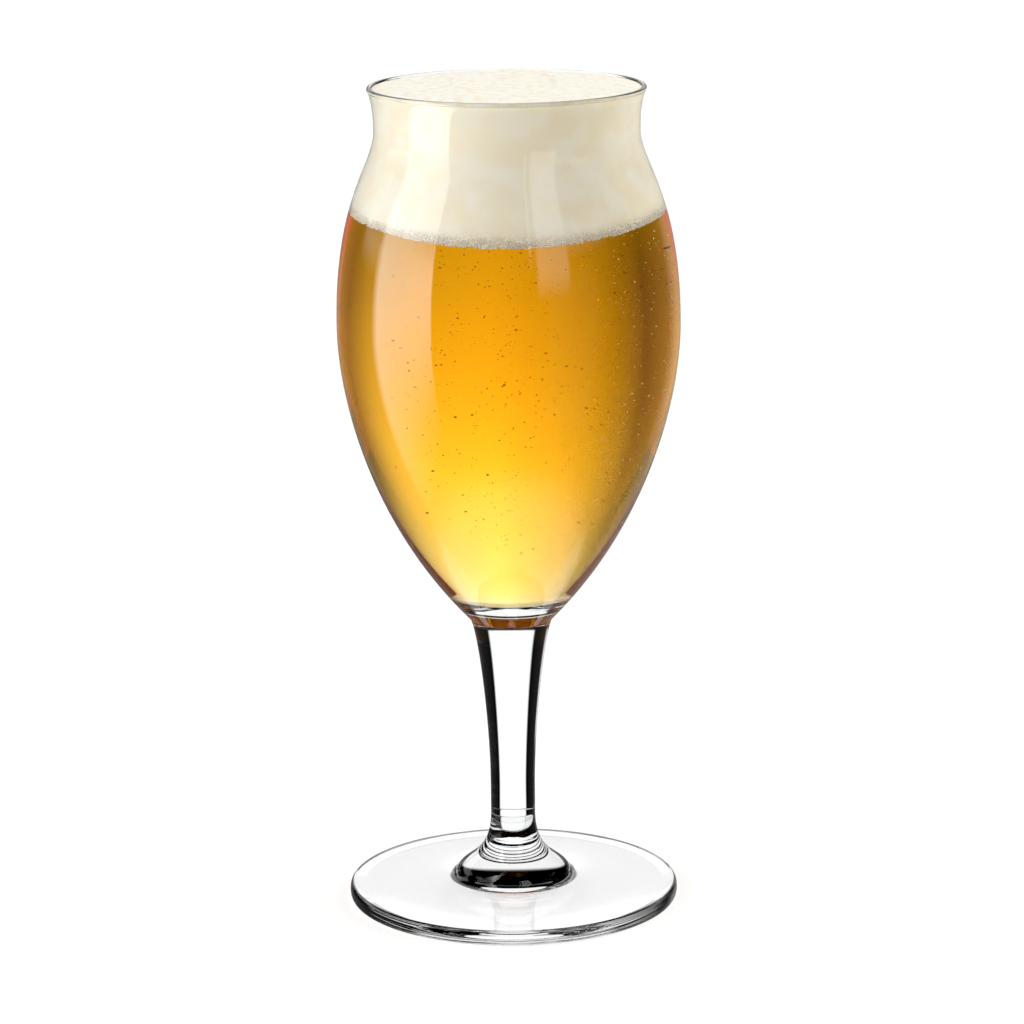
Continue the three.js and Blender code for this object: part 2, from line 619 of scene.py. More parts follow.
@dataclass
class BowlOutline:
    """The bowl's half section: outer wall, half-round lip, inner wall and dished floor."""

    joint: Spot
    belly_radius: float
    lip_top: float
    base_angle: float = 45.7
    base_thickness: float = 5.2 * MM
    floor_rounding: float = 5.0 * MM
    belly_level: float = 71.0 * MM
    neck_radius: float = 30.8 * MM
    neck_below_lip: float = 10.1 * MM
    lip_radius: float = 32.2 * MM
    lip_angle: float = 58.0
    lip_wall: float = 1.2 * MM
    body_wall: float = 1.8 * MM
    base_fullness: float = 0.465
    belly_fullness: tuple[float, float] = (0.24, 0.67)
    neck_fullness: tuple[float, float] = (0.18, 0.48)
    lip_fullness: float = 0.17
    wall_steps: tuple[int, int, int] = (56, 44, 14)
    floor_steps: int = 18
    roll_steps: int = 12

    @classmethod
    def from_frame(cls) -> "BowlOutline":
        """Takes the joint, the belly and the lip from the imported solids.

        Returns:
            The outline.
        """
        stem_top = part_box("stem")[1]
        bowl_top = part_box("bowl")[1]
        return cls((stem_top.x, stem_top.z), bowl_top.x, bowl_top.z)

    @property
    def belly(self) -> Spot:
        """The widest spot of the wall."""
        return (self.belly_radius, self.joint[1] + self.belly_level)

    @property
    def lip(self) -> Spot:
        """The wall's last spot, where the lip's roll starts."""
        tilt = math.radians(self.lip_angle)
        return (self.lip_radius, self.lip_top - self.lip_wall / 2 * (1 + math.cos(tilt)))

    @property
    def floor_height(self) -> float:
        """The height of the bowl's floor on the axis."""
        return self.joint[1] + self.base_thickness

    def wall(self) -> list[Spot]:
        """Follows the outer wall from the joint to the lip.

        Returns:
            The spots along it.
        """
        neck = (self.neck_radius, self.lip_top - self.neck_below_lip)
        belly = self.belly
        below, above = self.belly_fullness
        under, over = self.neck_fullness
        lip_back = self.lip_angle - HALF_TURN
        base = Stretch(self.joint, self.base_angle, self.base_fullness, belly, DOWN, below)
        shoulder = Stretch(belly, UP, above, neck, DOWN, under)
        flare = Stretch(neck, UP, over, self.lip, lip_back, self.lip_fullness)
        spots = base.spots(self.wall_steps[0])
        spots += shoulder.spots(self.wall_steps[1])[1:]
        spots += flare.spots(self.wall_steps[2])[1:]
        return spots

    def thickness(self, height: float) -> float:
        """The wall's thickness: the body's, which thins above the belly to the lip's."""
        thinning = smoothstep(height, self.belly[1], self.lip[1])
        return self.body_wall + (self.lip_wall - self.body_wall) * thinning

    def inset_wall(self, film: float) -> list[Spot]:
        """Moves the outer wall inwards, square to itself, by the wall's thickness and a film.

        Args:
            film: Distance kept from the glass.

        Returns:
            The spots along the moved wall.
        """
        wall = np.array(self.wall())
        tangents = np.gradient(wall, axis=0)
        tangents /= np.linalg.norm(tangents, axis=1)[:, None]
        inset = np.array([self.thickness(height) + film for height in wall[:, 1]])
        moved = wall + inset[:, None] * np.stack([-tangents[:, 1], tangents[:, 0]], axis=1)
        return [(float(radius), float(height)) for radius, height in moved]

    def cavity(self, film: float = 0.0) -> list[Spot]:
        """Follows the bowl's inside, less a film.

        Args:
            film: Distance kept from the glass.

        Returns:
            The spots from the axis out over the dished floor and up the wall.
        """
        wall = self.inset_wall(film)
        floor = self.floor_height + film
        rise = floor + self.floor_rounding
        edge = (radius_at(wall, rise), rise)
        first = next(index for index, spot in enumerate(wall) if spot[1] > rise)
        slope = (wall[first + 1][0] - edge[0]) / (wall[first + 1][1] - edge[1])
        corner = (edge[0] - slope * self.floor_rounding, floor)
        return bezier([(0.0, floor), corner, edge], self.floor_steps) + wall[first:]

    def roll(self) -> list[Spot]:
        """Follows the half-round lip, from the outer wall to the inner one.

        Returns:
            The spots along it.
        """
        outer, inner = self.lip, self.inset_wall(0.0)[-1]
        middle = ((outer[0] + inner[0]) / 2, (outer[1] + inner[1]) / 2)
        first = self.lip_angle + DOWN
        turn = HALF_TURN / self.roll_steps
        reach = self.lip_wall / 2
        return [along(middle, first + turn * step, reach) for step in range(self.roll_steps + 1)]


@dataclass
class GlassBowl:
    """The blown bowl, dry outside and wetted inside up to the foam's edge."""

    outline: BowlOutline
    wet_to: float
    around: int = 192
    name: str = "glass_bowl"

    def build(self) -> bpy.types.Object:
        """Turns the bowl's section.

        Returns:
            The new object.
        """
        inner = self.outline.cavity()[::-1]
        waterline = (radius_at(inner[::-1], self.wet_to), self.wet_to)
        dry = [spot for spot in inner if spot[1] > self.wet_to] + [waterline]
        wet = [waterline] + [spot for spot in inner if spot[1] < self.wet_to]
        body = TurnedBody(self.name, self.around)
        body.band([(0.0, self.outline.joint[1]), self.outline.joint], Face.JOINT)
        body.band(self.outline.wall(), Face.DRY, crease=True)
        body.band(self.outline.roll(), Face.LIP)
        body.band(dry, Face.DRY)
        body.band(wet, Face.WET)
        return body.build()

    def dress(self, piece: bpy.types.Object, glass: list[bpy.types.Material]) -> None:
        """Puts the turned bowl in the solid's place and gives it the finishes of glass."""
        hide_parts("bowl")
        give_finish(piece, Slot.GLASS, *glass)


@dataclass
class GlassStem:
    """The solid pressed stem, straight at its waist and flared under the bowl."""

    joint: Spot
    base: float
    waist_radius: float = 5.3 * MM
    waist_length: float = 7.0 * MM
    top_angle: float = 60.0
    waist_fullness: float = 0.36
    top_fullness: float = 0.095
    seam_round: float = 0.12 * MM
    seam_steps: int = 5
    around: int = 128
    steps: int = 48
    name: str = "glass_stem"

    def build(self) -> bpy.types.Object:
        """Turns the stem's section, with a rounded lower edge at the seam.

        Returns:
            The new object.
        """
        seam = (self.waist_radius - self.seam_round, self.base)
        corner = (self.waist_radius, self.base)
        waist = (self.waist_radius, self.base + self.waist_length)
        back = self.top_angle - HALF_TURN
        flare = Stretch(waist, UP, self.waist_fullness, self.joint, back, self.top_fullness)
        body = TurnedBody(self.name, self.around)
        body.band([(0.0, self.base), seam], Face.JOINT)
        edge = (self.waist_radius, self.base + self.seam_round)
        body.band(bezier([seam, corner, edge], self.seam_steps), Face.DRY, crease=True)
        body.band(flare.spots(self.steps), Face.DRY)
        body.band([self.joint, (0.0, self.joint[1])], Face.JOINT, crease=True)
        return body.build()

    def dress(self, piece: bpy.types.Object, glass: list[bpy.types.Material]) -> None:
        """Puts the turned stem in the solid's place and gives it the finishes of glass."""
        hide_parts("stem")
        give_finish(piece, Slot.GLASS, *glass[: Face.LIP])


@dataclass
class GlassFoot:
    """The pressed foot: hollow below, rest ring, rounded edge, sloped disc and bell-shaped boss."""

    radius: float
    height: float
    seam_radius: float
    seam_round: float
    edge_thickness: float = 3.6 * MM
    edge_round: float = 1.1 * MM
    disc_rise: float = 1.4 * MM
    boss_radius: float = 14.3 * MM
    boss_angle: float = 62.0
    boss_fillet: float = 1.6 * MM
    ring_width: float = 2.4 * MM
    hollow_depth: float = 1.5 * MM
    boss_fullness: float = 0.28
    seam_fullness: float = 0.77
    around: int = 224
    steps: int = 36
    round_steps: int = 8
    name: str = "glass_foot"

    def build(self) -> bpy.types.Object:
        """Turns the foot's section.

        Returns:
            The new object.
        """
        ring_outer = (self.radius - self.edge_round, 0.0)
        ring_inner = (ring_outer[0] - self.ring_width, 0.0)
        hollow = [(0.0, self.hollow_depth), (ring_inner[0] / 2, self.hollow_depth), ring_inner]
        side = (self.radius, self.edge_thickness / 2)
        edge_top = (ring_outer[0], self.edge_thickness)
        corner = (self.boss_radius, self.edge_thickness + self.disc_rise)
        rise = HALF_TURN - self.boss_angle
        boss_base = along(corner, rise, self.boss_fillet)
        slope = math.degrees(math.atan2(edge_top[1] - corner[1], edge_top[0] - corner[0]))
        disc_end = along(corner, slope, self.boss_fillet)
        seam = (self.seam_radius, self.height)
        boss = Stretch(boss_base, rise, self.boss_fullness, seam, DOWN, self.seam_fullness)
        bell = [spot for spot in boss.spots(self.steps) if spot[1] < self.height - self.seam_round]
        seam_end = (self.seam_radius - self.seam_round, self.height)
        body = TurnedBody(self.name, self.around)
        body.band(bezier(hollow, self.steps), Face.DRY)
        body.band([ring_inner, ring_outer], Face.DRY, crease=True)
        under = along(ring_outer, OUTWARDS, self.edge_round)
        body.band(bezier([ring_outer, under, side], self.round_steps), Face.DRY)
        over = along(edge_top, OUTWARDS, self.edge_round)
        body.band(bezier([side, over, edge_top], self.round_steps), Face.DRY)
        body.band(bezier([disc_end, corner, boss_base], self.round_steps), Face.DRY)
        body.band(bell, Face.DRY)
        body.band(bezier([bell[-1], seam, seam_end], self.round_steps), Face.DRY)
        body.band([seam_end, (0.0, self.height)], Face.JOINT, crease=True)
        return body.build()

    def dress(self, piece: bpy.types.Object, glass: list[bpy.types.Material]) -> None:
        """Puts the turned foot in the solid's place and gives it the finishes of glass."""
        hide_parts("foot")
        give_finish(piece, Slot.GLASS, *glass[: Face.LIP])


@dataclass(frozen=True)
class FoamLine:
    """The line round the wall where the foam meets the beer, which sags between its two high sides."""

    level: float
    lift: float = 0.55 * MM
    sway: float = 1.45 * MM
    high_sides: float = 2.0
    ripple: float = 0.16 * MM
    ripple_scale: float = 5.0 * MM

    def height(self, place: Vector) -> float:
        """Reads the line's height in the direction of a place.

        Args:
            place: Any spot off the axis.

        Returns:
            The height of the line on that side.
        """
        turn = math.atan2(place.y, place.x)
        reach = math.hypot(place.x, place.y)
        ripple = self.ripple * noise.noise(Vector((place.x, place.y, reach)) / self.ripple_scale)
        return self.level + self.lift + self.sway * math.cos(self.high_sides * turn) + ripple


@dataclass
class BeerFill:
    """The beer, from the bowl's floor up to the foam, a hair inside the wetted wall."""

    outline: BowlOutline
    line: FoamLine
    film: float = 0.03 * MM
    rim_clearance: float = 1.0 * MM
    inner_ring: float = 0.5
    still_share: float = 0.1
    rim_share: float = 0.9
    overlap: float = 0.2 * MM
    around: int = 160
    name: str = "beer_fill"

    def build(self) -> bpy.types.Object:
        """Turns the bowl's inside up to the foam, then lifts its rim to the foam's line.

        Returns:
            The new object.
        """
        cavity = self.outline.cavity(self.film)
        top = self.line.level
        rim = (radius_at(cavity, top), top)
        body = TurnedBody(self.name, self.around)
        body.band([spot for spot in cavity if spot[1] < top - self.rim_clearance] + [rim])
        body.band([rim, (rim[0] * self.inner_ring, top), (0.0, top)], crease=True)
        piece = body.build()
        for vertex in piece.data.vertices:
            if vertex.co.z < top - SAME_LEVEL:
                continue
            share = math.hypot(vertex.co.x, vertex.co.y) / rim[0]
            if share < self.still_share:
                continue
            vertex.co.z = self.line.height(vertex.co) + self.overlap
            if share > self.rim_share:
                reach = radius_at(cavity, vertex.co.z) / rim[0]
                vertex.co.x *= reach
                vertex.co.y *= reach
        return piece

    def dress(self, piece: bpy.types.Object) -> None:
        """Puts the turned beer in the solid's place and gives it its finish."""
        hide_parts("beer")
        give_finish(piece, Slot.BEER, AmberBeer().make())


@dataclass
class FoamHead:
    """The head of foam: pressed to the wall, with a low bubbly crown and a ragged lower edge."""

    outline: BowlOutline
    line: FoamLine
    edge: float
    crown: float
    film: float = 0.05 * MM
    retreat: float = 0.45 * MM
    retreat_height: float = 2.6 * MM
    around: int = 320
    side_steps: int = 50
    top_steps: int = 72
    cell: float = 1.6 * MM
    dome: float = 0.35 * MM
    swell: float = 0.5 * MM
    swell_scale: float = 9.0 * MM
    calm_rim: float = 3.0 * MM
    rim_bubble: float = 0.3
    cell_middle: float = 0.6
    crown_share: float = 0.85
    base_share: float = 0.9
    still_radius: float = 1.0 * MM
    name: str = "foam_crown"

    def build(self) -> bpy.types.Object:
        """Turns the foam's section, then raises bubbles on its top and lets its lower edge sag.

        Returns:
            The new object.
        """
        cavity = self.outline.cavity(self.film)
        base = self.line.level
        rise = (self.edge - base) / self.side_steps
        heights = [base + rise * step for step in range(self.side_steps + 1)]
        side = [(radius_at(cavity, height), height) for height in heights]
        shoulder = (side[-1][0] * self.crown_share, self.crown)
        top = bezier([side[-1], shoulder, (0.0, self.crown)], self.top_steps)
        body = TurnedBody(self.name, self.around)
        body.band([(0.0, base), (side[0][0] * self.base_share, base), side[0]])
        body.band(side, crease=True)
        body.band(top)
        piece = body.build()
        for vertex in piece.data.vertices:
            if vertex.co.z >= self.edge:
                vertex.co.z += self._bubble(vertex.co, side[-1][0])
            else:
                self._sag(vertex, cavity)
        return piece

    def dress(self, piece: bpy.types.Object, foam: bpy.types.Material) -> None:
        """Puts the turned foam in the solid's place and gives it its finish."""
        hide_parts("foam_head")
        give_finish(piece, Slot.FOAM, foam)

    def _bubble(self, place: Vector, rim: float) -> float:
        """How far one spot of the foam's top is raised by bubbles.

        Args:
            place: The spot on the smooth foam.
            rim: Radius of the foam's upper edge.

        Returns:
            The rise.
        """
        radius = math.hypot(place.x, place.y)
        calm = smoothstep(rim - radius, 0.0, self.calm_rim)
        distances = noise.voronoi(place / self.cell)[0]
        bubble = self.dome * (self.cell_middle - distances[0])
        swell = self.swell * noise.noise(place / self.swell_scale)
        return calm * (bubble + swell) + (1.0 - calm) * self.rim_bubble * bubble

    def _sag(self, vertex: bpy.types.MeshVertex, cavity: list[Spot]) -> None:
        """Moves one spot of the side or the underside to the sagging lower line.

        Args:
            vertex: The spot on the smooth foam.
            cavity: The bowl's inside, less the film.
        """
        reach = math.hypot(vertex.co.x, vertex.co.y)
        if reach < self.still_radius:
            return
        before = radius_at(cavity, vertex.co.z)
        share = (self.edge - vertex.co.z) / (self.edge - self.line.level)
        drop = (self.line.height(vertex.co) - self.line.level) * share
        vertex.co.z += drop
        back = 1.0 - smoothstep(vertex.co.z - self.line.height(vertex.co), 0.0, self.retreat_height)
        after = radius_at(cavity, vertex.co.z) - self.retreat * back
        vertex.co.x *= after / before
        vertex.co.y *= after / before


@dataclass(frozen=True)
class Bubble:
    """One bubble: its centre and its radius."""

    centre: Vector
    radius: float


def bubble_mesh(name: str, bubbles: list[Bubble], rounds: int) -> bpy.types.Object:
    """Joins bubbles into one piece.

    Args:
        name: The piece's name.
        bubbles: The bubbles.
        rounds: Subdivisions of each bubble.

    Returns:
        The new object.
    """
    shape = bmesh.new()
    bmesh.ops.create_icosphere(shape, subdivisions=rounds, radius=1.0)
    ball = np.array([vertex.co for vertex in shape.verts])
    shape.verts.index_update()
    sides = np.array([[vertex.index for vertex in face.verts] for face in shape.faces])
    shape.free()
    places = np.concatenate([ball * bubble.radius + np.array(bubble.centre) for bubble in bubbles])
    faces = np.concatenate([sides + len(ball) * index for index in range(len(bubbles))])
    mesh = bpy.data.meshes.new(name)
    mesh.from_pydata(places.tolist(), [], faces.tolist())
    mesh.polygons.foreach_set("use_smooth", [True] * len(faces))
    mesh.update()
    return link_mesh(mesh)


@dataclass
class FoamFringe:
    """The rows of small bubbles where the foam meets the beer at the wall."""

    outline: BowlOutline
    line: FoamLine
    count: int = 3800
    smallest: float = 0.14 * MM
    largest: float = 0.29 * MM
    lowest: float = -0.18 * MM
    highest: float = 2.6 * MM
    film: float = 0.06 * MM
    jitter: float = 0.4
    crowding: float = 1.6
    rounds: int = 2
    seed: int = 11
    name: str = "foam_fringe"

    def build(self) -> bpy.types.Object:
        """Scatters the bubbles round the wall, closest together along the line.

        Returns:
            The new object.
        """
        draw = random.Random(self.seed)
        cavity = self.outline.cavity(self.film)
        bubbles = []
        for index in range(self.count):
            turn = 2.0 * math.pi * (index + draw.uniform(-self.jitter, self.jitter)) / self.count
            radius = draw.uniform(self.smallest, self.largest)
            way = Vector((math.cos(turn), math.sin(turn), 0.0))
            rise = self.lowest + (self.highest - self.lowest) * draw.random() ** self.crowding
            height = self.line.height(way * self.outline.belly_radius) + rise
            reach = radius_at(cavity, height) - radius
            bubbles.append(Bubble(way * reach + Vector((0.0, 0.0, height)), radius))
        return bubble_mesh(self.name, bubbles, self.rounds)

    def dress(self, piece: bpy.types.Object, foam: bpy.types.Material) -> None:
        """Gives the bubbles the foam's finish."""
        give_finish(piece, Slot.FOAM, foam)


@dataclass
class BeerBubbles:
    """The gas bubbles that hang in the beer and cling to the glass."""

    name: str
    outline: BowlOutline
    top: float
    count: int
    sides: tuple[Spot, ...]
    skin: BubbleSkin
    smallest: float = 0.09 * MM
    largest: float = 0.3 * MM
    clinging: float = 0.7
    lowest: float = 12.0 * MM
    gap: float = 0.1 * MM
    rise_power: float = 0.6
    size_power: float = 2.5
    rounds: int = 2
    seed: int = 5

    def build(self) -> bpy.types.Object:
        """Scatters the bubbles, most of them near the wall and in the upper half.

        Returns:
            The new object.
        """
        draw = random.Random(self.seed)
        cavity = self.outline.cavity(self.gap)
        low = self.outline.floor_height + self.lowest
        bubbles = []
        for _ in range(self.count):
            turn = math.radians(draw.uniform(*draw.choice(self.sides)))
            height = low + (self.top - low) * draw.random() ** self.rise_power
            radius = self.smallest + (self.largest - self.smallest) * draw.random() ** self.size_power
            wall = radius_at(cavity, height) - radius
            reach = wall if draw.random() < self.clinging else wall * math.sqrt(draw.random())
            centre = Vector((reach * math.cos(turn), reach * math.sin(turn), height))
            bubbles.append(Bubble(centre, radius))
        return bubble_mesh(self.name, bubbles, self.rounds)

    def dress(self, piece: bpy.types.Object) -> None:
        """Gives the bubbles their skin."""
        give_finish(piece, Slot.BEER, self.skin.make())


@dataclass(frozen=True)
class Panel:
    """A panel far behind the glass, given by the directions in which it lies, in degrees."""

    azimuth: float
    half_width: float
    lowest: float
    highest: float
    edge: float = 2.0
    level: float = 1.0

    def share(self, graph: Graph, way: bpy.types.NodeSocket) -> bpy.types.NodeSocket:
        """Adds the nodes that give the panel's level in its directions and 0 elsewhere.

        Args:
            graph: The node tree.
            way: The direction looked in.

        Returns:
            The brightness.
        """
        level = graph.node("VectorMath", {0: way, 1: (1.0, 1.0, 0.0)}, operation="MULTIPLY").outputs[0]
        level = graph.node("VectorMath", {0: level}, operation="NORMALIZE").outputs[0]
        turn = math.radians(self.azimuth)
        facing = (math.cos(turn), math.sin(turn), 0.0)
        near = graph.node("VectorMath", {0: level, 1: facing}, operation="DOT_PRODUCT").outputs["Value"]
        height = graph.node("SeparateXYZ", {0: way}).outputs["Z"]
        outer = math.cos(math.radians(self.half_width + self.edge))
        inner = math.cos(math.radians(self.half_width - self.edge))
        across: Any = self.level
        if self.half_width < HALF_TURN:
            across = graph.ease(near, outer, inner, 0.0, self.level)
        above = graph.ease(height, *self._sines(self.lowest), 0.0, 1.0)
        below = graph.ease(height, *self._sines(self.highest), 1.0, 0.0)
        return graph.math("MULTIPLY", across, graph.math("MULTIPLY", above, below))

    def _sines(self, degrees: float) -> Spot:
        """The sines just below and just above an elevation, between which the panel's edge fades."""
        return (math.sin(math.radians(degrees - self.edge)), math.sin(math.radians(degrees + self.edge)))


@dataclass(frozen=True)
class Glow:
    """A patch of soft light in the surroundings, brightest in one direction."""

    way: Vector
    colour: Colour
    outer: float
    inner: float

    def over(self, graph: Graph, way: bpy.types.NodeSocket, below: Any) -> bpy.types.NodeSocket:
        """Lays the patch over a colour.

        Args:
            graph: The node tree.
            way: The direction looked in.
            below: The colour outside the patch.

        Returns:
            The colour with the patch.
        """
        near = graph.node("VectorMath", {0: way, 1: self.way.normalized()}, operation="DOT_PRODUCT")
        low, high = math.cos(math.radians(self.outer)), math.cos(math.radians(self.inner))
        return graph.mix(graph.ease(near.outputs["Value"], low, high, 0.0, 1.0), below, self.colour)


@dataclass
class Backdrop:
    """The surroundings, which differ by the way that the light comes to the eye.

    The eye itself sees white, clear glass shows the panels behind it and mirrors others, the beer
    shows a wall that brightens upwards, and all other light comes from the soft glows.
    """

    behind: tuple[Panel, ...] = (
        Panel(azimuth=90.0, half_width=27.0, lowest=-75.0, highest=6.0, level=1.1),
        Panel(azimuth=90.0, half_width=55.0, lowest=21.5, highest=80.0),
        Panel(azimuth=315.0, half_width=18.0, lowest=-34.0, highest=6.0),
        Panel(azimuth=180.0, half_width=27.0, lowest=-10.5, highest=12.0),
        Panel(azimuth=135.0, half_width=18.0, lowest=-55.0, highest=-22.0),
    )
    mirrored: tuple[Panel, ...] = (
        Panel(azimuth=90.0, half_width=24.0, lowest=5.0, highest=60.0, edge=6.0),
        Panel(azimuth=104.0, half_width=14.0, lowest=-75.0, highest=5.0, edge=6.0, level=0.2),
        Panel(azimuth=68.0, half_width=22.0, lowest=-75.0, highest=5.0, edge=8.0, level=0.32),
        Panel(azimuth=90.0, half_width=80.0, lowest=-85.0, highest=-50.0, edge=4.0, level=1.3),
        Panel(azimuth=315.0, half_width=26.0, lowest=15.0, highest=22.0, edge=5.0),
        Panel(azimuth=180.0, half_width=30.0, lowest=2.0, highest=10.0, edge=4.0),
        Panel(azimuth=135.0, half_width=25.0, lowest=18.0, highest=34.0),
        Panel(azimuth=90.0, half_width=95.0, lowest=-75.0, highest=0.0, edge=12.0, level=0.12),
        Panel(azimuth=90.0, half_width=HALF_TURN, lowest=-80.0, highest=-52.0, edge=8.0),
    )
    beer_heights: Spot = (-0.44, 0.05)
    beer_rise: float = 1.35
    beer_levels: Spot = (0.64, 1.75)
    beer_blue: float = 2.1
    shade: Colour = (0.86, 0.74, 0.56)
    glows: tuple[Glow, ...] = (
        Glow(Vector((0.0, 0.0, 1.0)), colour=(0.1, 0.17, 0.3), outer=62.0, inner=25.0),
        Glow(Vector((-0.89, -0.42, 0.12)), colour=(3.8, 3.7, 3.5), outer=57.0, inner=26.0),
        Glow(Vector((0.94, 0.34, 0.08)), colour=(4.2, 4.0, 3.6), outer=57.0, inner=26.0),
    )

    def build(self) -> None:
        """Builds the world's nodes."""
        world = bpy.data.worlds.new("studio")
        bpy.context.scene.world = world
        graph = Graph(world)
        way = graph.node("TexCoord").outputs["Generated"]
        path = graph.node("LightPath").outputs
        crossed, eye = path["Is Transmission Ray"], path["Is Camera Ray"]
        height = graph.node("SeparateXYZ", {0: way}).outputs["Z"]
        deep = graph.math("GREATER_THAN", path["Transmission Depth"], BEER_DEPTH)
        risen = graph.math("POWER", graph.ramp(height, *self.beer_heights, 0.0, 1.0), self.beer_rise)
        behind_beer = graph.blend(risen, *self.beer_levels)
        behind_glass = self._lit(graph, way, self.behind)
        off = self._lit(graph, way, self.mirrored)
        seen = graph.blend(crossed, off, graph.blend(deep, behind_glass, behind_beer))
        seen = graph.math("MAXIMUM", seen, eye)
        rays = graph.math("MAXIMUM", graph.math("MAXIMUM", crossed, path["Is Glossy Ray"]), eye)
        looked = graph.math("MULTIPLY", rays, graph.math("LESS_THAN", path["Diffuse Depth"], NO_BOUNCE))
        light: Any = self.shade
        for glow in self.glows:
            light = glow.over(graph, way, light)
        cool = graph.math("MULTIPLY", graph.math("MULTIPLY", crossed, deep), risen)
        blue = graph.math("MULTIPLY", seen, graph.blend(cool, 1.0, self.beer_blue))
        colour = graph.mix(looked, light, graph.node("CombineColor", {0: seen, 1: seen, 2: blue}).outputs[0])
        background = graph.node("Background", {"Color": colour, "Strength": 1.0})
        graph.node("OutputWorld", {"Surface": background.outputs[0]})

    def _lit(
        self, graph: Graph, way: bpy.types.NodeSocket, panels: tuple[Panel, ...]
    ) -> bpy.types.NodeSocket:
        """Joins panels into one brightness.

        Args:
            graph: The node tree.
            way: The direction looked in.
            panels: The panels to join.

        Returns:
            The brightness in that direction.
        """
        share = panels[0].share(graph, way)
        for panel in panels[1:]:
            share = graph.math("MAXIMUM", share, panel.share(graph, way))
        return share


class Sight(Enum):
    """The rays that can see a thing of the stage, by the setting that shows it to them."""

    THROUGH_GLASS = "visible_transmission"
    IN_REFLECTIONS = "visible_glossy"


def set_stage(thing: bpy.types.Object, *sights: Sight) -> None:
    """Shows a thing of the stage only to the rays named.

    Args:
        thing: The object.
        sights: The rays that see it.
    """
    thing.visible_camera = False
    thing.visible_diffuse = False
    thing.visible_shadow = False
    thing.visible_volume_scatter = False
    for sight in Sight:
        setattr(thing, sight.value, sight in sights)


def arc(first: float, last: float, reach: float, steps: int = 40) -> list[Spot]:
    """Follows an arc about the axis.

    Args:
        first: Direction of its first end, in degrees from +X.
        last: Direction of its last end.
        reach: Its radius.
        steps: How many steps it is cut into.

    Returns:
        The places along it, seen from above.
    """
    turns = [first + (last - first) * step / steps for step in range(steps + 1)]
    return [along((0.0, 0.0), turn, reach) for turn in turns]


def fading(first: float, last: float) -> tuple[Spot, ...]:
    """Lists the cover across a card whose two ends fade, each over a share of its width."""
    return ((0.0, 0.0), (first, 1.0), (1.0 - last, 1.0), (1.0, 0.0))


@dataclass(frozen=True)
class CardFinish:
    """A plain tone that covers as much as the mesh's cover says, and elsewhere lets all light by."""

    name: str
    tone: Colour
    strength: float
    beer_only: bool

    def make(self) -> bpy.types.Material:
        """Builds the material.

        Returns:
            The material, which shows only through the beer where it is marked so.
        """
        finish = bpy.data.materials.new(self.name)
        graph = Graph(finish)
        shown = graph.node("Attribute", attribute_name="cover").outputs["Fac"]
        if self.beer_only:
            depth = graph.node("LightPath").outputs["Transmission Depth"]
            shown = graph.math("MULTIPLY", shown, graph.math("GREATER_THAN", depth, BEER_DEPTH))
        glow = graph.node("Emission", {"Color": self.tone, "Strength": self.strength}).outputs[0]
        clear = graph.node("BsdfTransparent").outputs[0]
        graph.surface(graph.node("MixShader", {0: shown, 1: clear, 2: glow}).outputs[0])
        return finish


def link_card(
    finish: CardFinish, places: list[Triple], faces: list[tuple[int, ...]], cover: list[float], sight: Sight
) -> bpy.types.Object:
    """Makes a card of the stage.

    Args:
        finish: The card's finish, which also names it.
        places: Its vertices.
        faces: Its faces, as indices of vertices.
        cover: How much of the light each vertex keeps out.
        sight: The rays that see the card.

    Returns:
        The new object.
    """
    mesh = bpy.data.meshes.new(finish.name)
    mesh.from_pydata(places, [], faces)
    mesh.attributes.new("cover", "FLOAT", "POINT").data.foreach_set("value", cover)
    mesh.materials.append(finish.make())
    card = link_mesh(mesh)
    set_stage(card, sight)
    return card


@dataclass
class StageCard:
    """A stage card that stands on a line seen from above, with edges that fade.

    Its cover is given across, by the share of its width, and upwards, by the height. With a lean
    the cover shifts sideways as it rises, and with a slat depth the card is a louvre.
    """

    name: str
    plan: list[Spot]
    bottom: float
    top: float
    tone: Colour
    strength: float
    across: tuple[Spot, ...]
    sight: Sight
    upwards: tuple[Spot, ...] = ((0.0, 1.0),)
    lean: float = 0.0
    lean_from: float = 0.15
    slat_depth: float = 0.0
    slat_turn: float = 0.0
    rows: int = 16

    def build(self) -> bpy.types.Object:
        """Stands the card up and gives it its plain finish.

        Returns:
            The new object.
        """
        places, faces, cover = [], [], []
        shares, widths = zip(*self.across)
        marks, covers = zip(*self.upwards)
        rise = self.top - self.bottom
        heights = [self.bottom + rise * row / self.rows for row in range(self.rows + 1)]
        for strip in self._strips():
            for step, (x, y, share) in enumerate(strip):
                for row, height in enumerate(heights):
                    leant = share - self.lean * max(height - self.lean_from, 0.0)
                    beside = np.interp(leant, shares, widths)
                    places.append((x, y, height))
                    cover.append(float(beside * np.interp(height, marks, covers)))
                    if step and row:
                        corner = len(places) - 1
                        before = corner - len(heights)
                        faces.append((before - 1, corner - 1, corner, before))
        through_beer = self.sight is Sight.THROUGH_GLASS
        finish = CardFinish(self.name, self.tone, self.strength, beer_only=through_beer)
        return link_card(finish, places, faces, cover, self.sight)

    def _strips(self) -> list[list[Triple]]:
        """Lists the strips seen from above: one along the plan, or a slat at each place of a louvre.

        Returns:
            For each strip its places, each with its share of the way across the card.
        """
        last = len(self.plan) - 1
        line = [(x, y, step / last) for step, (x, y) in enumerate(self.plan)]
        if not self.slat_depth:
            return [line]
        strips = []
        for x, y, share in line:
            outwards = math.degrees(math.atan2(y, x))
            end = along((x, y), outwards + self.slat_turn, self.slat_depth)
            strips.append([(x, y, share), (*end, share)])
        return strips


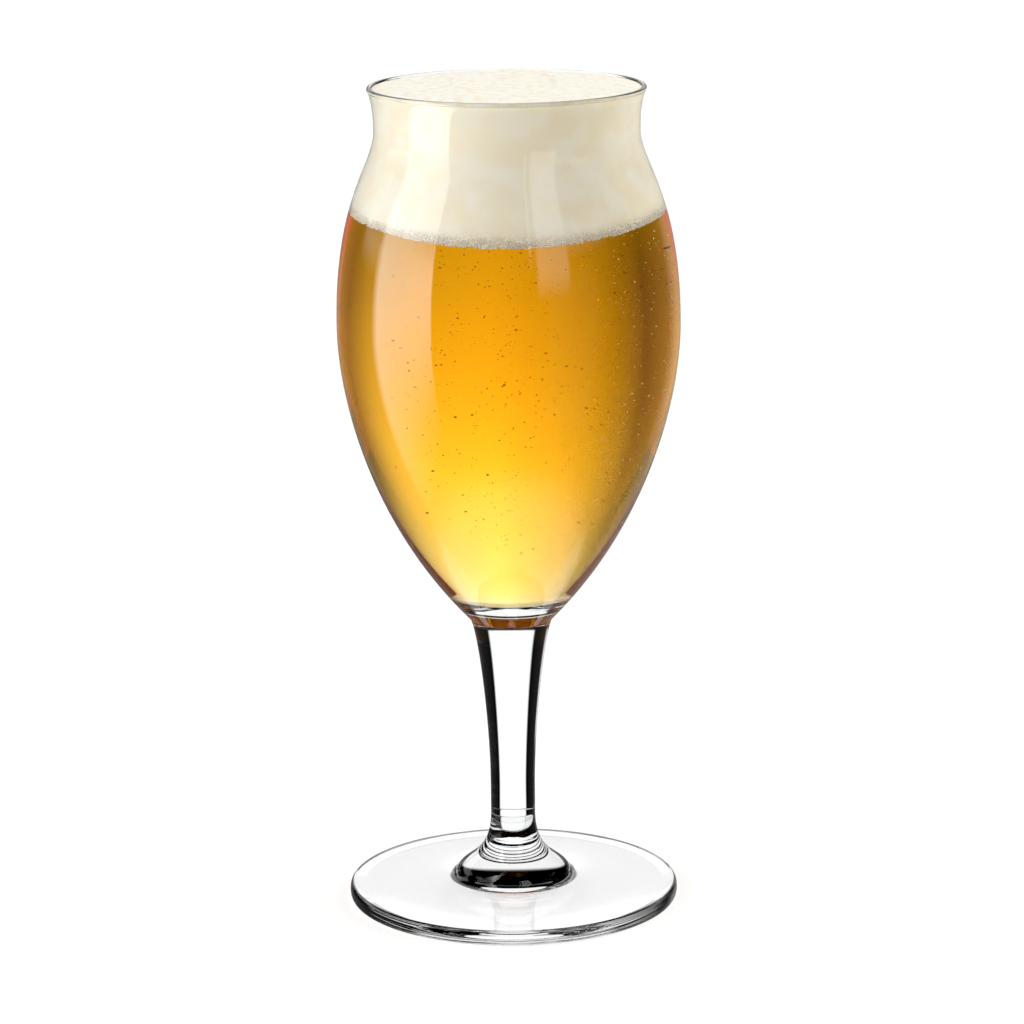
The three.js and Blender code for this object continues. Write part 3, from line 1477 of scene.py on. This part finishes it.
@dataclass(frozen=True)
class FloorFinish:
    """White matte that glows towards the eye, so that the floor is as white as what is behind it."""

    name: str = "studio_floor"
    glow: float = 0.65
    albedo: float = 0.36

    def make(self) -> bpy.types.Material:
        """Builds the material.

        Returns:
            The material.
        """
        finish = bpy.data.materials.new(self.name)
        graph = Graph(finish)
        seen = graph.node("LightPath").outputs["Is Camera Ray"]
        glow = graph.node("Emission", {"Strength": graph.math("MULTIPLY", seen, self.glow)})
        matte = graph.node("BsdfDiffuse", {"Color": (self.albedo,) * 3})
        graph.surface(graph.node("AddShader", {0: glow.outputs[0], 1: matte.outputs[0]}).outputs[0])
        return finish


@dataclass
class Studio:
    """Floor, surroundings, cards and lamp."""

    backdrop: Backdrop
    floor_half: float = 3.0
    floor_drop: float = 0.1 * MM
    key_size: float = 0.7
    key_watts: float = 0.5
    key_place: Vector = Vector((-0.55, -0.35, 0.85))
    key_aim: Vector = Vector((0.0, 0.0, 0.1))
    dark: Colour = (0.15, 0.13, 0.115)
    white: Colour = (1.0, 0.99, 0.97)
    edge_reach: float = 0.3
    edge_bottom: float = -0.06
    edge_full: float = 0.06
    edge_top: float = 0.36
    slats: int = 2100
    slat_depth: float = 1.2 * MM
    slat_turn: float = -3.5
    near_box: tuple[Spot, Spot] = ((-0.0606, -0.018), (-0.105, -0.104))
    box_steps: int = 40
    box_reach: float = 0.6
    box_top: float = 0.9

    def build(self) -> None:
        """Builds the stage round the glass."""
        self.backdrop.build()
        self._floor()
        self._key()
        for card in self._edge_cards() + self._softboxes():
            card.build()

    def _floor(self) -> None:
        """Lays a white floor that keeps a soft shadow and that the glass doesn't show."""
        half = self.floor_half
        mesh = bpy.data.meshes.new("studio_floor")
        corners = [(-half, -half), (half, -half), (half, half), (-half, half)]
        mesh.from_pydata([(x, y, -self.floor_drop) for x, y in corners], [], [(0, 1, 2, 3)])
        mesh.materials.append(FloorFinish().make())
        floor = link_mesh(mesh)
        floor.visible_transmission = False
        floor.visible_glossy = False

    def _key(self) -> None:
        """Hangs the soft lamp, up and to the left of the camera."""
        lamp = bpy.data.lights.new("key_lamp", "AREA")
        lamp.size = self.key_size
        lamp.energy = self.key_watts
        holder = bpy.data.objects.new("key_lamp", lamp)
        bpy.context.scene.collection.objects.link(holder)
        holder.location = self.key_place
        holder.rotation_euler = (self.key_aim - self.key_place).to_track_quat("-Z", "Y").to_euler()
        holder.visible_glossy = False
        holder.visible_transmission = False
        holder.visible_camera = False

    def _edge_cards(self) -> list[StageCard]:
        """Lists the dark cards seen through the beer's two edges, the right-hand one a louvre.

        Returns:
            The cards.
        """
        right = StageCard(
            name="right_edge_card",
            plan=arc(first=88.0, last=168.0, reach=self.edge_reach, steps=self.slats),
            bottom=self.edge_bottom,
            top=self.edge_top,
            tone=self.dark,
            strength=1.0,
            across=(
                (0.0, 0.0),
                (0.05, 0.3),
                (0.125, 0.56),
                (0.225, 0.83),
                (0.33, 1.0),
                (0.54, 0.86),
                (0.68, 0.48),
                (1.0, 0.0),
            ),
            sight=Sight.THROUGH_GLASS,
            upwards=((self.edge_bottom, 0.0), (self.edge_full, 1.0), (self.edge_top, 1.0)),
            lean=1.1,
            slat_depth=self.slat_depth,
            slat_turn=self.slat_turn,
        )
        left = StageCard(
            name="left_edge_card",
            plan=arc(first=16.0, last=86.0, reach=self.edge_reach),
            bottom=self.edge_bottom,
            top=self.edge_top,
            tone=self.dark,
            strength=1.0,
            across=(
                (0.0, 0.0),
                (0.2, 0.45),
                (0.31, 0.84),
                (0.5, 0.92),
                (0.6, 0.72),
                (0.71, 0.43),
                (0.83, 0.21),
                (1.0, 0.0),
            ),
            sight=Sight.THROUGH_GLASS,
            upwards=((self.edge_bottom, 0.0), (self.edge_full, 1.0), (0.16, 1.0), (self.edge_top, 0.6)),
            lean=-1.7,
        )
        return [right, left]

    def _softboxes(self) -> list[StageCard]:
        """Lists the softboxes mirrored on the bowl: one close on the left, two far on the right.

        Returns:
            The softboxes.
        """
        left = StageCard(
            name="left_softbox",
            plan=bezier(list(self.near_box), self.box_steps),
            bottom=0.0,
            top=0.25,
            tone=self.white,
            strength=5.6,
            across=fading(first=0.05, last=0.04),
            sight=Sight.IN_REFLECTIONS,
            upwards=((0.05, 0.0), (0.08, 0.15), (0.14, 0.85), (0.165, 1.0), (0.19, 0.5), (0.25, 0.4)),
        )
        right = StageCard(
            name="right_softbox",
            plan=arc(first=288.0, last=312.0, reach=self.box_reach),
            bottom=0.16,
            top=self.box_top,
            tone=self.white,
            strength=1.8,
            across=fading(first=0.1, last=0.1),
            sight=Sight.IN_REFLECTIONS,
            upwards=((0.16, 0.0), (0.24, 1.0)),
        )
        strand = StageCard(
            name="right_strand",
            plan=arc(first=283.5, last=286.0, reach=self.box_reach),
            bottom=0.25,
            top=self.box_top,
            tone=self.white,
            strength=1.3,
            across=fading(first=0.3, last=0.3),
            sight=Sight.IN_REFLECTIONS,
            upwards=((0.25, 0.0), (0.33, 1.0)),
        )
        return [left, right, strand]


@dataclass
class PhotoCamera:
    """The camera at the photograph's viewing angle."""

    place: Vector = Vector((0.38 * MM, -0.914, 0.3112))
    pitch: float = 13.36
    roll: float = -0.52
    lens: float = 140.1
    clip_start: float = 0.01

    def build(self) -> None:
        """Adds the camera and makes it the scene's."""
        data = bpy.data.cameras.new("photo_camera")
        data.lens = self.lens
        data.clip_start = self.clip_start
        holder = bpy.data.objects.new("photo_camera", data)
        bpy.context.scene.collection.objects.link(holder)
        tilt = Matrix.Rotation(math.radians(UP - self.pitch), 4, "X")
        spin = Matrix.Rotation(math.radians(self.roll), 4, "Z")
        holder.matrix_world = Matrix.Translation(self.place) @ tilt @ spin
        bpy.context.scene.camera = holder


def set_paths() -> None:
    """Lets light cross all the surfaces of the full glass, and keeps colours as they are written."""
    scene = bpy.context.scene
    scene.view_settings.view_transform = "Standard"
    scene.cycles.max_bounces = 32
    scene.cycles.transmission_bounces = 32
    scene.cycles.glossy_bounces = 12
    scene.cycles.transparent_max_bounces = 16


def glass_finishes() -> list[bpy.types.Material]:
    """Builds the finishes of glass.

    Returns:
        The materials, in the order of the kinds of surface in Face.
    """
    dry = ClearGlass("clear_glass", GLASS_IOR).make()
    wet = ClearGlass("wetted_glass", GLASS_IOR / BEER_IOR).make()
    joint = FusedJoint().make()
    lip = ClearGlass("lip_glass", GLASS_IOR, tint=LIP_TINT).make()
    return [dry, wet, joint, lip]


def build_glass() -> None:
    """Builds and dresses the bowl, the stem, the foot, the beer and the foam."""
    outline = BowlOutline.from_frame()
    foot_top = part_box("foot")[1]
    line = FoamLine(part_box("beer")[1].z)
    foam_edge = outline.lip_top - FOAM_BELOW_LIP
    foam_top = outline.lip_top + FOAM_ABOVE_LIP
    glass = glass_finishes()
    foam = CreamFoam(line.level, foam_edge).make()

    bowl = GlassBowl(outline, foam_edge)
    bowl.dress(bowl.build(), glass)

    stem = GlassStem(outline.joint, foot_top.z)
    stem.dress(stem.build(), glass)

    foot = GlassFoot(foot_top.x, foot_top.z, stem.waist_radius, stem.seam_round)
    foot.dress(foot.build(), glass)

    beer = BeerFill(outline, line)
    beer.dress(beer.build())

    crown = FoamHead(outline, line, foam_edge, foam_top)
    crown.dress(crown.build(), foam)

    fringe = FoamFringe(outline, line)
    fringe.dress(fringe.build(), foam)

    # Dark bubbles: their dark amber skin is painted shade, standing in for the dark rims that bent light
    # gives a bubble.
    specks = BeerBubbles(
        name="beer_specks",
        outline=outline,
        top=line.level,
        count=950,
        sides=((228.0, 325.0), (40.0, 140.0)),
        skin=BubbleSkin("speck_painted_shade_skin", dark=(0.4, 0.22, 0.07), light=(0.75, 0.55, 0.3), clear=1.0),
        largest=0.2 * MM,
    )
    specks.dress(specks.build())

    # Bright bubbles: their pale orange, partly opaque skin is a painted glint, standing in for the light
    # that a bubble catches.
    glints = BeerBubbles(
        name="beer_glints",
        outline=outline,
        top=line.level,
        count=260,
        sides=((305.0, 348.0),),
        skin=BubbleSkin("glint_painted_highlight_skin", dark=(0.9, 0.6, 0.25), light=(1.0, 0.85, 0.55), clear=0.3),
        seed=8,
    )
    glints.dress(glints.build())


def main() -> None:
    """Builds the glass, the studio and the camera."""
    logging.basicConfig(level=logging.INFO, format="%(name)s %(message)s")
    set_paths()
    build_glass()
    Studio(Backdrop()).build()
    PhotoCamera().build()


if __name__ == "__main__":
    main()
